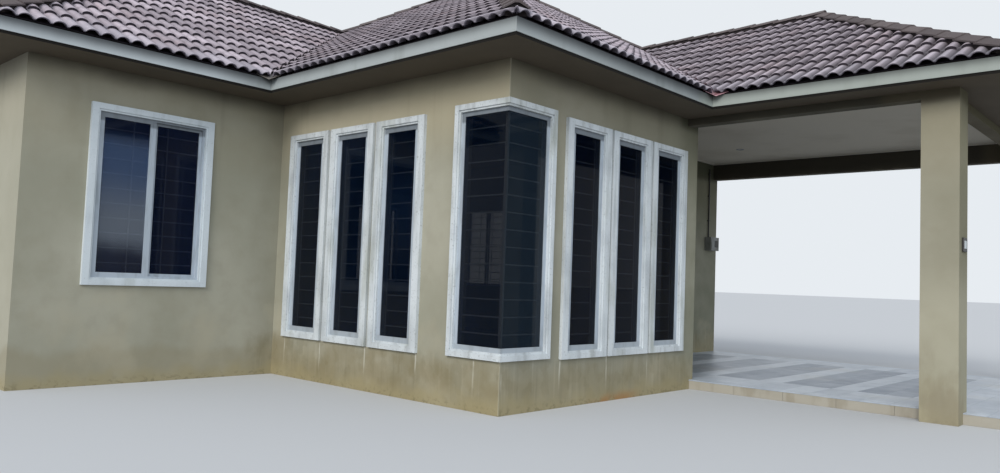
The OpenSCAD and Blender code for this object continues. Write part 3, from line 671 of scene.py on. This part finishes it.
# Materials by the names of nodes, of the record's slots and of what the scene adds
PAINT = {
    "plaster": plaster_paint(), "white_plaster": white_paint(),
    "white_aluminium": aluminium_paint(),
    "dark_glass": glass_paint("dark_glass", 0.25, (4, 14, 30), (8, 22, 42)),
    "corner_glass": glass_paint("corner_glass", 0.12, (3, 12, 26), (6, 18, 36), (30, 41, 52)),
    "bay_front_glass": glass_paint("shaded_glass", 0.08, (3, 10, 24), (6, 16, 32)),
    "wing_glass": glass_paint("veiled_glass", 0.2, (16, 24, 44), (24, 33, 56),
                              veil=sum(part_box("wing_glass"), Vector()).x / 2),
    "roof_tiles": tile_paint("roof_tile_across_x", "X"),
    "side_tiles": tile_paint("roof_tile_across_y", "Y"),
    "cap": cap_paint(), "fascia_board": fascia_paint(), "eaves_board": lining_paint(),
    "wing_valley": flashing_paint("grey_flashing", (112, 106, 100), (72, 66, 62)),
    "porch_valley": flashing_paint("pink_flashing", (206, 160, 168), (112, 62, 68)),
    "ceiling_board": ceiling_paint(), "floor_tile": floor_tile_paint(),
    "riser_tile": riser_tile_paint(), "door_timber": door_paint(), "meter_plastic": meter_paint(),
}
# Roughness, gloss, scale and detail of the mottling, two colours, and the relief's scale and
# detail, depth and strength
MOTTLED = {
    # The noses are dark with grime and painted shade, and the sheet under the tiles shares their
    # paint
    "tile_nose": (0.95, 0.15, (11.0, 4), (46, 42, 48), (76, 70, 78), (70.0, 3), 0.003, 0.6),
    # The strip below each nose holds dirt and painted shade
    "tile_soil": (0.95, 0.15, (11.0, 4), (56, 50, 54), (88, 80, 84), (70.0, 3), 0.003, 0.6),
    "tile_eaves": (0.95, 0.15, (11.0, 4), (92, 88, 98), (128, 122, 134), (70.0, 3), 0.003, 0.6),
    # The mortar under the caps is painted dark, partly as shade
    "cap_mortar": (0.95, 0.1, (20.0, 4), (34, 31, 34), (66, 60, 60), (45.0, 4), 0.008, 0.7),
    "grout": (0.95, 0.1, (18.0, 4), (112, 112, 112), (142, 140, 134), (120.0, 2), 0.001, 0.5),
    "floor_concrete": (0.85, 0.25, (2.0, 6), (128, 126, 120), (154, 151, 144), (50.0, 3), 0.002,
                       0.5),
    "grille_steel": (0.5, 0.35, (20.0, 3), (222, 228, 230), (190, 198, 202), (90.0, 2), 0.0005,
                     0.3),
    "dark_plastic": (0.5, 0.4, (16.0, 3), (34, 33, 32), (58, 55, 52), (120.0, 2), 0.0004, 0.3),
}
for name, values in MOTTLED.items():
    PAINT[name] = mottled_paint(name, *values)

PAINT |= {"concrete": PAINT["floor_concrete"], "porch_tiles": PAINT["grout"]}


def finish_nodes():
    """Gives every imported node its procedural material, by its own name or by the record's slot."""
    for part in frame["record"]["subparts"]:
        node = part["node"]
        materials = frame["nodes"][node].data.materials
        materials.clear()
        materials.append(PAINT[node if node in PAINT else part["material_slot"]])


# Roof tiles


class Slope:
    """One face of the roof: along the eaves, up the slope and straight out of it."""

    def __init__(self, inward, edge):
        self.inward = Vector((*inward, 0))
        self.along = Vector((inward[1], -inward[0], 0))
        self.up = self.inward * math.cos(PITCH) + UP * math.sin(PITCH)
        self.out = self.along.cross(self.up)
        self.base = self.inward * self.inward.dot(Vector((*edge, 0))) + UP * EAVE_Z

    def local(self, x, y):
        """Distance along the eaves and up the slope of a place in plan."""
        level = Vector((x, y, 0)) - self.base
        return level.dot(self.along), level.dot(self.inward) / math.cos(PITCH)

    def place(self, along, up, out):
        return self.base + self.along * along + self.up * up + self.out * out


def roll(distance):
    """Height of a tile's face at a distance across it, from 0 in a narrow pan to 1 on a roll."""
    from_top = abs(distance / ROLL_PITCH % 1.0 - 0.5) / (ROLL_SHARE / 2)
    return math.cos(math.pi / 2 * min(from_top, 1.0)) ** ROLL_FULLNESS


def tile_columns():
    """Distance across the tile, height of the roll and depth of the side skirt."""
    count = round(TILE_W / ROLL_PITCH) * ROLL_STEPS
    across = [i * ROLL_PITCH / ROLL_STEPS for i in range(count + 1)]
    face = [(u, roll(u), 0.0) for u in across]
    return [(0.0, 0.0, TILE_SKIRT), *face, (TILE_W, 0.0, TILE_SKIRT)]


def tile_rows(at_eaves):
    """Distance up from the nose, drop below the tile's face and material of the next strip.
    Dirt and painted shade lie on the rolls just below the next course, and the eaves show an
    underside."""
    face = [(0.0, NOSE_ROUND * 0.8, FACE), (NOSE_ROUND, 0.0, FACE), (GAUGE - DIRT_AND_SHADE_REACH, 0.0, DIRT_AND_SHADE),
            (GAUGE + TILE_LAP, 0.0, FACE)]
    if at_eaves:
        return [(UNDERSIDE, TILE_T, EAVES), (NOSE_BACK, TILE_T - NOSE_BACK, EAVES)] + face
    return [(NOSE_BACK, TILE_STEP + NOSE_BACK, NOSE)] + face


def add_tile(shape, slope, plane, row, column):
    """One tile, set a little off its true place and with a tone of its own."""
    luck = random.Random(f"{plane} {row} {column}")
    slip = luck.uniform(0, COURSE_WANDER) if row == 0 else luck.uniform(-1, 1) * COURSE_WANDER
    sunk = luck.uniform(0, 2) * TILE_ROCK
    shade = luck.random()
    columns = tile_columns()
    rows = tile_rows(row == 0)
    points = []
    for up, drop, _ in rows:
        for across, height, skirt in columns:
            out = (height - 1) * ROLL_H - TILE_STEP * up / GAUGE - drop - skirt - sunk
            points.append(slope.place(column * TILE_W + across, row * GAUGE + up + slip, out))
    wide = len(columns)
    faces, paints = [], []
    for level in range(len(rows) - 1):
        for i in range(wide - 1):
            a = level * wide + i
            on_roll = columns[i][1] + columns[i + 1][1] > 2 * DARK_FROM
            faces.append((a, a + 1, a + wide + 1, a + wide))
            paint = rows[level][2]
            paints.append(paint if on_roll or paint == EAVES else FACE)
    shape.add(points, faces, paints, shade)


def roof_sheet(slope, spots):
    """The sheet that the tiles lie over, painted dark as shade, which shows in the gaps between
    them.
    """
    low, high = min(s[0] for s in spots), max(s[0] for s in spots)
    top = max(s[1] for s in spots)
    shape = Shape()
    shape.bar(slope.place(low, SHEET_START, -SHEET_DROP), slope.along * (high - low),
              slope.up * (top - SHEET_START), slope.out * SHEET_T, NOSE)
    return shape


def tile_slope(name, node, plane, inward, kinds, outline):
    """All the tiles of one face of the roof. The kinds are those of the edges from corner to
    corner: eave, hip, ridge, valley, or seam where two pieces share a face."""
    corners = [Vector(place[:2]) for place in outline]
    centre = sum(corners, Vector((0, 0))) / len(corners)
    slope = Slope(inward, corners[0])
    planes = []
    for kind, start, end in zip(kinds.split(), corners, corners[1:] + corners[:1]):
        if kind == "eave":
            continue
        run = end - start
        away = Vector((run.y, -run.x)).normalized()
        if away.dot(centre - start) > 0:
            away = -away
        back = VALLEY_GAP if kind == "valley" else 0.0
        place = start - away * back
        planes.append((Vector((*place, 0)), Vector((*away, 0)), kind != "seam"))
    spots = [slope.local(*c) for c in corners]
    first = math.floor(min(s[0] for s in spots) / TILE_W)
    last = math.ceil(max(s[0] for s in spots) / TILE_W)
    whole, edge = Shape(), Shape()
    for row in range(math.ceil(max(s[1] for s in spots) / GAUGE)):
        for column in range(first, last):
            reach = [slope.place((column + i) * TILE_W, (row + j) * GAUGE, 0)
                     for i in (0, 1) for j in TILE_REACH]
            sides = [[(p - place).dot(away) for p in reach] for place, away, _ in planes]
            if any(min(side) > CUT_MARGIN for side in sides):
                continue
            cut = any(max(side) > -CUT_MARGIN for side in sides)
            add_tile(edge if cut else whole, slope, plane, row, column)
    whole.join(edge.cut(planes, TILE_T, slope.out))
    whole.join(roof_sheet(slope, spots).cut(planes))
    paint = "roof_tiles" if inward[0] == 0 else "side_tiles"
    whole.piece(name, "roof_tiles", [paint, "tile_nose", "tile_soil", "tile_eaves"], [node],
                smooth=38)


def build_tiles():
    bay, wing, porch = (BAY_X, BAY_Y), (LEFT, WING_Y), (PORCH_X, FRONT)
    right, back = (RIGHT, BAY_Y), (RIGHT, BACK)
    inner_wing, inner_porch, inner_back = (BAY_X, WING_Y), (PORCH_X, BAY_Y), (BAY_X, BACK)
    wing_back, porch_right = (LEFT, BACK), (RIGHT, FRONT)
    # Piece, node, plane, the way in from the eaves, kinds of the edges, and corners
    slopes = [
        ("main_tiles_left", "main_roof", "left a", (1, 0), "eave valley hip ridge hip",
         [bay, inner_wing, WING_JOIN, MAIN_BACK, MAIN_FRONT]),
        ("main_tiles_front", "main_roof", "front a", (0, 1), "eave valley hip hip",
         [bay, inner_porch, PORCH_JOIN, MAIN_FRONT]),
        ("main_tiles_right", "main_roof", "right", (-1, 0), "seam hip ridge hip eave",
         [right, PORCH_JOIN, MAIN_FRONT, MAIN_BACK, back]),
        ("main_tiles_back", "main_roof", "back", (0, -1), "hip hip seam eave",
         [back, MAIN_BACK, WING_JOIN, inner_back]),
        ("wing_tiles_front", "wing_roof", "front b", (0, 1), "eave valley ridge hip",
         [wing, inner_wing, WING_JOIN, WING_END]),
        ("wing_tiles_left", "wing_roof", "left b", (1, 0), "hip hip eave",
         [wing, WING_END, wing_back]),
        ("wing_tiles_back", "wing_roof", "back", (0, -1), "hip ridge seam eave",
         [wing_back, WING_END, WING_JOIN, inner_back]),
        ("porch_tiles_front", "porch_roof", "front c", (0, 1), "eave hip hip",
         [porch, porch_right, PORCH_END]),
        ("porch_tiles_left", "porch_roof", "left c", (1, 0), "hip ridge valley eave",
         [porch, PORCH_END, PORCH_JOIN, inner_porch]),
        ("porch_tiles_right", "porch_roof", "right", (-1, 0), "hip ridge seam eave",
         [porch_right, PORCH_END, PORCH_JOIN, right]),
    ]
    for slope in slopes:
        tile_slope(*slope)


# Caps and valleys


def cap_sections(drop):
    """Section of a cap, as a folded shell, and of its mortar: across and up from the line."""
    outer = [(CAP_HALF, -CAP_FALL), (CAP_FLAT, CAP_RISE), (-CAP_FLAT, CAP_RISE),
             (-CAP_HALF, -CAP_FALL)]
    inner = [(across, height - CAP_T) for across, height in reversed(outer)]
    side, edge, crown = CAP_HALF - 0.020, -CAP_FALL - 0.008, CAP_RISE - CAP_T - 0.004
    bed = [(side, edge), (CAP_FLAT, crown), (-CAP_FLAT, crown), (-side, edge), (-side, -drop),
           (side, -drop)]
    return outer + inner, bed


def cap_run(shape, low, high, drop):
    """A row of overlapping caps from a low end to a high end, bedded in mortar."""
    ahead = (high - low).normalized()
    across = ahead.cross(UP).normalized()
    top = across.cross(ahead)
    length = (high - low).length
    count = max(1, round(length / CAP_LENGTH))
    exposed = length / count
    luck = random.Random(f"cap {low.x:.3f} {low.y:.3f}")
    shell, bed = cap_sections(drop)
    bed_start, bed_end, bed_sunk = 0.025, length - 0.01, 0.004

    def section(outline, distance, sink):
        return [low + ahead * distance + across * a + top * (h - sink) for a, h in outline]

    for i in range(count):
        start = i * exposed
        end = min(start + exposed + CAP_LAP, length)
        wander = luck.uniform(0, CAP_WANDER)
        shape.loft([section(shell, start, wander), section(shell, end, wander + CAP_STEP)], 0,
                   luck.random())
    shape.loft([section(bed, bed_start, bed_sunk), section(bed, bed_end, bed_sunk)], 1)


def build_caps():
    """Caps on each roof's hips and ridge. A hip that starts at the eaves has a bare foot."""
    short, reach, hip_drop, ridge_drop = 0.03, 0.06, 0.10, 0.12
    roofs = {
        "main": ([(roof_place(BAY_X, BAY_Y), MAIN_FRONT, CAP_START),
                  (roof_place(RIGHT, BACK), MAIN_BACK, CAP_START),
                  (PORCH_JOIN, MAIN_FRONT, 0), (WING_JOIN, MAIN_BACK, 0)],
                 MAIN_FRONT, MAIN_BACK),
        "wing": ([(roof_place(LEFT, WING_Y), WING_END, CAP_START),
                  (roof_place(LEFT, BACK), WING_END, CAP_START)],
                 WING_END, WING_JOIN),
        "porch": ([(roof_place(PORCH_X, FRONT), PORCH_END, CAP_START),
                   (roof_place(RIGHT, FRONT), PORCH_END, CAP_START)],
                  PORCH_END, PORCH_JOIN),
    }
    for name, (hips, start, end) in roofs.items():
        shape = Shape()
        for foot, top, bare in hips:
            rise = (top - foot).normalized()
            cap_run(shape, foot + rise * bare, top - rise * short, hip_drop)
        ahead = (end - start).normalized() * reach
        cap_run(shape, start - ahead, end + ahead, ridge_drop)
        shape.piece(f"{name}_caps", "roof_tiles", ["cap", "cap_mortar"], [f"{name}_roof_caps"],
                    smooth=20)


def build_valleys():
    """A folded metal strip under the cut tiles of each valley."""
    half, sheet, under, below = 0.15, 0.002, 0.080, 0.045
    rise = math.tan(PITCH) * math.sin(math.radians(45)) * half
    for name, low, high in (("wing", roof_place(BAY_X, WING_Y), WING_JOIN),
                            ("porch", roof_place(PORCH_X, BAY_Y), PORCH_JOIN)):
        shape = Shape()
        start = low - (high - low).normalized() * below
        across = (high - low).cross(UP).normalized()
        sections = []
        for place in (start, high):
            centre = place - UP * under
            fold = [centre - across * half + UP * rise, centre, centre + across * half + UP * rise]
            sections.append(fold + [p + UP * sheet for p in reversed(fold)])
        shape.loft(sections)
        shape.piece(f"{name}_valley", "roof_tiles", [f"{name}_valley"])


# Windows

BAR = 0.012
BAR_DEEP = 0.066
BAR_PITCH = 0.165
BAR_ROUND = 0.002


def grille(shape, start, end, low, high, inward, uprights):
    """Level bars in a wall between two places on its face, with uprights at shares of it."""
    along = end - start
    into = Vector((*inward, 0))
    back = start + into * BAR_DEEP
    count = round((high - low) / BAR_PITCH)
    step = (high - low) / count
    for i in range(1, count):
        shape.bar(back + UP * (low + i * step - BAR / 2), along, into * BAR, UP * BAR)
    thick = along.normalized() * BAR
    for share in uprights:
        foot = back + along * share - thick / 2 + into * BAR + UP * low
        shape.bar(foot, thick, into * BAR, UP * (high - low))


def build_grilles():
    """Bars behind every window, in the wall's own thickness."""
    front, left, right, rear = (0, 1), (1, 0), (-1, 0), (0, -1)
    few, many = (0.08, 0.92), (0.02, 0.34, 0.66, 0.98)
    # Node, width of its jambs, height of its heads, places of the uprights and the way in
    groups = {
        "bay_side": ("bay_side_surrounds", 0.11, 0.075, few, left),
        "bay_front": ("bay_front_surrounds", 0.11, 0.075, few, front),
        "wing": ("wing_surround", 0.09, 0.08, many, front),
        "end": ("end_surrounds", 0.09, 0.08, many, left),
        "back": ("back_surrounds", 0.09, 0.08, many, rear),
    }
    for name, (node, jamb, head, uprights, inward) in groups.items():
        shape = Shape()
        for low, high in solids(node):
            facing = right if name == "end" and low.x > 0 else inward
            face = [high if v > 0 else low for v in facing]
            if facing[0]:
                start = Vector((face[0].x, low.y + jamb, 0))
                end = Vector((face[0].x, high.y - jamb, 0))
            else:
                start = Vector((low.x + jamb, face[1].y, 0))
                end = Vector((high.x - jamb, face[1].y, 0))
            if facing in (left, rear):
                start, end = end, start
            grille(shape, start, end, low.z + head, high.z - head, facing, uprights)
        shape.piece(f"{name}_grille", "white_aluminium", ["grille_steel"], bevel=BAR_ROUND)
    low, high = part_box("corner_surround")
    shape = Shape()
    near, post_w = 0.07, 0.03
    far, base, top = high.x - CORNER.x - near, low.z + near, high.z - near
    grille(shape, spot(0, far), spot(0, near), base, top, left, (0.03,))
    grille(shape, spot(near, 0), spot(far, 0), base, top, front, (0.97,))
    post = spot(near, near, base)
    shape.block(post, post + Vector((post_w, post_w, top - base)))
    shape.piece("corner_grille", "white_aluminium", ["grille_steel"], bevel=BAR_ROUND)


# Porch

FLOOR_TILE_T = 0.012
JOINT = 0.003
# How far the riser stands back from the floor's edge, and its tiles' thickness
RISER_BACK = 0.012
RISER_TILE_T = 0.006


def tile_edges(low, high, start, pitch, least):
    """Edges of tiles from low to high, at a pitch from a start; the end ones have a least width."""
    first = math.ceil((low + least - start) / pitch)
    last = math.floor((high - least - start) / pitch)
    return [low, *(start + i * pitch for i in range(first, last + 1)), high]


def build_porch_floor():
    """Tiles on a bed, in rows of two blue-grey ones and a pale one, inside a pale border."""
    low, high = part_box("porch_floor")
    left_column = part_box("left_column")
    blocked = [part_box("bay_return_wall"), left_column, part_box("right_column")]
    wide, deep, grout = 0.62, 0.30, 0.0085
    start = spot(4.34, -0.55)
    xs = tile_edges(low.x, high.x, start.x, wide, 0.05)
    ys = tile_edges(low.y, high.y, start.y, deep, 0.04)
    bed = high.z - FLOOR_TILE_T
    shape = Shape()
    luck = random.Random("porch floor")
    for near, far in zip(ys, ys[1:]):
        row = round((near - start.y) / deep)
        for left, right in zip(xs, xs[1:]):
            column = round((left - start.x) / wide)
            dark = row % 3 != 2 and 0 <= column < 5 and row >= -6
            tone = luck.uniform(0.0, 0.25) if dark else luck.uniform(0.7, 1.0)
            for x0, x1, y0, y1 in pieces_clear(left, right, near, far, blocked):
                shape.block((x0 + JOINT / 2, y0 + JOINT / 2, bed),
                            (x1 - JOINT / 2, y1 - JOINT / 2, high.z), 0, tone)
    inside = low.x + RISER_BACK, high.x, low.y + RISER_BACK, high.y
    for x0, x1, y0, y1 in pieces_clear(*inside, blocked):
        shape.block((x0, y0, low.z), (x1, y1, bed + grout), 2)
    build_riser(shape, low, high, left_column)
    shape.piece("porch_floor_tiles", "porch_tiles", ["floor_tile", "riser_tile", "grout"],
                ["porch_floor"], bevel=0.0012)


def pieces_clear(x0, x1, y0, y1, blocked):
    """A level rectangle less the parts that fixed boxes take up, as rectangles and no slivers."""
    sliver = 0.012
    rest = [(x0, x1, y0, y1)]
    for low, high in blocked:
        kept = []
        for a, b, c, d in rest:
            if b <= low.x or a >= high.x or d <= low.y or c >= high.y:
                kept.append((a, b, c, d))
                continue
            kept += [(a, min(b, low.x), c, d), (max(a, high.x), b, c, d),
                     (max(a, low.x), min(b, high.x), c, min(d, low.y)),
                     (max(a, low.x), min(b, high.x), max(c, high.y), d)]
        rest = [(a, b, c, d) for a, b, c, d in kept if b - a > sliver and d - c > sliver]
    return rest


def build_riser(shape, low, high, column):
    """Upright tiles along the left and front edges of the porch floor, cut at the column."""
    long, least = 0.60, 0.02
    top = high.z - FLOOR_TILE_T
    back_x, back_y = low.x + RISER_BACK, low.y + RISER_BACK
    y = CORNER.y
    while y > low.y + least:
        end = max(y - long, back_y)
        spans = [(end + JOINT / 2, y - JOINT / 2)]
        if end < column[1].y and y > column[0].y:
            spans = [(column[1].y, y - JOINT / 2), (end + JOINT / 2, column[0].y)]
        for first, last in spans:
            if first < last:
                shape.block((back_x - RISER_TILE_T, first, low.z), (back_x, last, top), 1)
        y -= long
    x = back_x
    while x < high.x - least:
        end = min(x + long, high.x)
        shape.block((x + JOINT / 2, back_y - RISER_TILE_T, low.z),
                    (end - JOINT / 2, back_y, top), 1)
        x += long


def build_downlight():
    """A small recessed light in the porch ceiling."""
    cornice, sides = 0.012, 32
    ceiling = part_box("porch_ceiling")[0].z + cornice
    place = spot(6.75, 0.946)
    # Radius of each ring and its height above the ceiling's face, from the rim inwards
    rings = [(0.062, 0.0), (0.060, -0.006), (0.046, -0.008), (0.043, -0.002), (0.040, 0.03)]
    sections = [ring(place.x, place.y, ceiling + rise, radius, sides) for radius, rise in rings]
    shape = Shape()
    shape.loft(sections, 0, ends=False)
    shape.add(sections[-1], [tuple(range(sides))], 1)
    shape.piece("downlight", "white_aluminium", ["white_aluminium", "dark_plastic"],
                smooth=30)


def build_meter():
    """A meter box with its window, and the conduit that rises from it up the wall."""
    low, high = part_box("meter_box")
    side, end, lid, window = 0.02, 0.03, low.y - 0.006, low.y - 0.010
    shape = Shape()
    shape.block((low.x + side, lid, low.z + end), (high.x - side, low.y, high.z - end), 0)
    shape.block(((low.x + high.x) / 2 - side, window, low.z + 2 * end),
                (high.x - 2 * side, lid, high.z - 2 * end), 1)
    x, y, top = low.x + 0.10, high.y - 0.022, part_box("porch_ceiling")[0].z - 0.1
    heights = high.z, top - 0.12, top
    shape.loft([ring(x, y, z, 0.0125, 14, math.pi / 2) for z in heights], 2)
    clip, clip_y, tall = 0.028, high.y - 0.036, 0.016
    for z in (high.z + 0.3, high.z + 0.75, top - 0.1):
        shape.block((x - clip, clip_y, z), (x + clip, high.y, z + tall), 2)
    shape.piece("meter_details", "meter_plastic",
                ["meter_plastic", "dark_plastic", "dark_plastic"], smooth=30, bevel=0.002)


def build_switch_box():
    """A small switch box on the front of the left-hand column."""
    low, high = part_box("left_column")
    wide, tall, deep, from_edge, z = 0.16, 0.14, 0.016, 0.07, 1.72
    corner = Vector((high.x - from_edge - wide, low.y - deep, z))
    inset = Vector((0.035, -0.004, 0.03))
    shape = Shape()
    shape.block(corner, corner + Vector((wide, deep, tall)), 1)
    shape.block(corner + inset, corner + Vector((wide - inset.x, 0, tall - inset.z)), 0)
    shape.piece("column_switch_box", "meter_plastic", ["white_plaster", "dark_plastic"],
                bevel=0.002)


# Surroundings

FLOOR_HALF = 400.0
FLOOR_Z = -0.001
# What the floor and the sky are to light, and as they are seen
FLOOR_LIGHT, FLOOR_SEEN = (0.42, 0.41, 0.39, 1), (0.62, 0.63, 0.64, 1)
SKY_LIGHT, SKY_SEEN = (0.56, 0.60, 0.66, 1), (0.80, 0.84, 0.88, 1)
# Strength, width in degrees, colour and direction
SUNS = {
    "sun": (1.8, 28, (1.0, 0.97, 0.92), (-0.80, -0.26, 0.47)),
    "fill": (1.0, 50, (0.80, 0.90, 1.0), (-0.45, -0.82, 0.30)),
}


def build_floor():
    """A wide pale floor, which throws little light back up at the house."""
    mesh = bpy.data.meshes.new("studio_floor")
    corners = [(-1, -1), (1, -1), (1, 1), (-1, 1)]
    mesh.from_pydata([(x * FLOOR_HALF, y * FLOOR_HALF, 0) for x, y in corners], [],
                     [(0, 1, 2, 3)])
    floor = add_object("studio_floor", mesh)
    floor.location.z = FLOOR_Z
    p = Paint("studio_floor", 0.95, 0.0)
    p.feed(p.shader, {"Base Color": p.mix(p.seen(), FLOOR_LIGHT, FLOOR_SEEN)})
    mesh.materials.append(p.material)


def build_light():
    """A soft sky, a broad low sun from the left and a faint cool one from the front."""
    world = bpy.data.worlds.new("studio")
    bpy.context.scene.world = world
    world.use_nodes = True
    sky = Nodes(world.node_tree)
    colour = sky.mix(sky.seen(), SKY_LIGHT, SKY_SEEN)
    sky.feed(sky.tree.nodes["Background"].inputs, {"Color": colour})
    for name, (energy, width, shade, place) in SUNS.items():
        data = bpy.data.lights.new(name, "SUN")
        data.energy = energy
        data.angle = math.radians(width)
        data.color = shade
        lamp = add_object(name, data)
        lamp.rotation_mode = "QUATERNION"
        lamp.rotation_quaternion = Vector(place).to_track_quat("Z", "Y")


def build_camera():
    """The camera that was matched to the photograph's edges."""
    ahead = Vector((math.cos(CAMERA_YAW) * math.cos(CAMERA_PITCH),
                    math.sin(CAMERA_YAW) * math.cos(CAMERA_PITCH), math.sin(CAMERA_PITCH)))
    level = Vector((math.sin(CAMERA_YAW), -math.cos(CAMERA_YAW), 0))
    upright = level.cross(ahead)
    right = math.cos(CAMERA_ROLL) * level + math.sin(CAMERA_ROLL) * upright
    top = -math.sin(CAMERA_ROLL) * level + math.cos(CAMERA_ROLL) * upright
    data = bpy.data.cameras.new("camera")
    data.sensor_width = SENSOR
    data.lens = SENSOR * FOCAL_PIXELS / PHOTO_W
    data.clip_end = 1000
    camera = add_object("camera", data)
    turn = Matrix((right, top, -ahead)).transposed().to_4x4()
    camera.matrix_world = Matrix.Translation(spot(*CAMERA_PLACE)) @ turn
    bpy.context.scene.camera = camera


finish_nodes()
build_tiles()
build_caps()
build_valleys()
build_grilles()
build_porch_floor()
build_downlight()
build_meter()
build_switch_box()
build_floor()
build_light()
build_camera()
bpy.context.scene.view_settings.view_transform = "Standard"
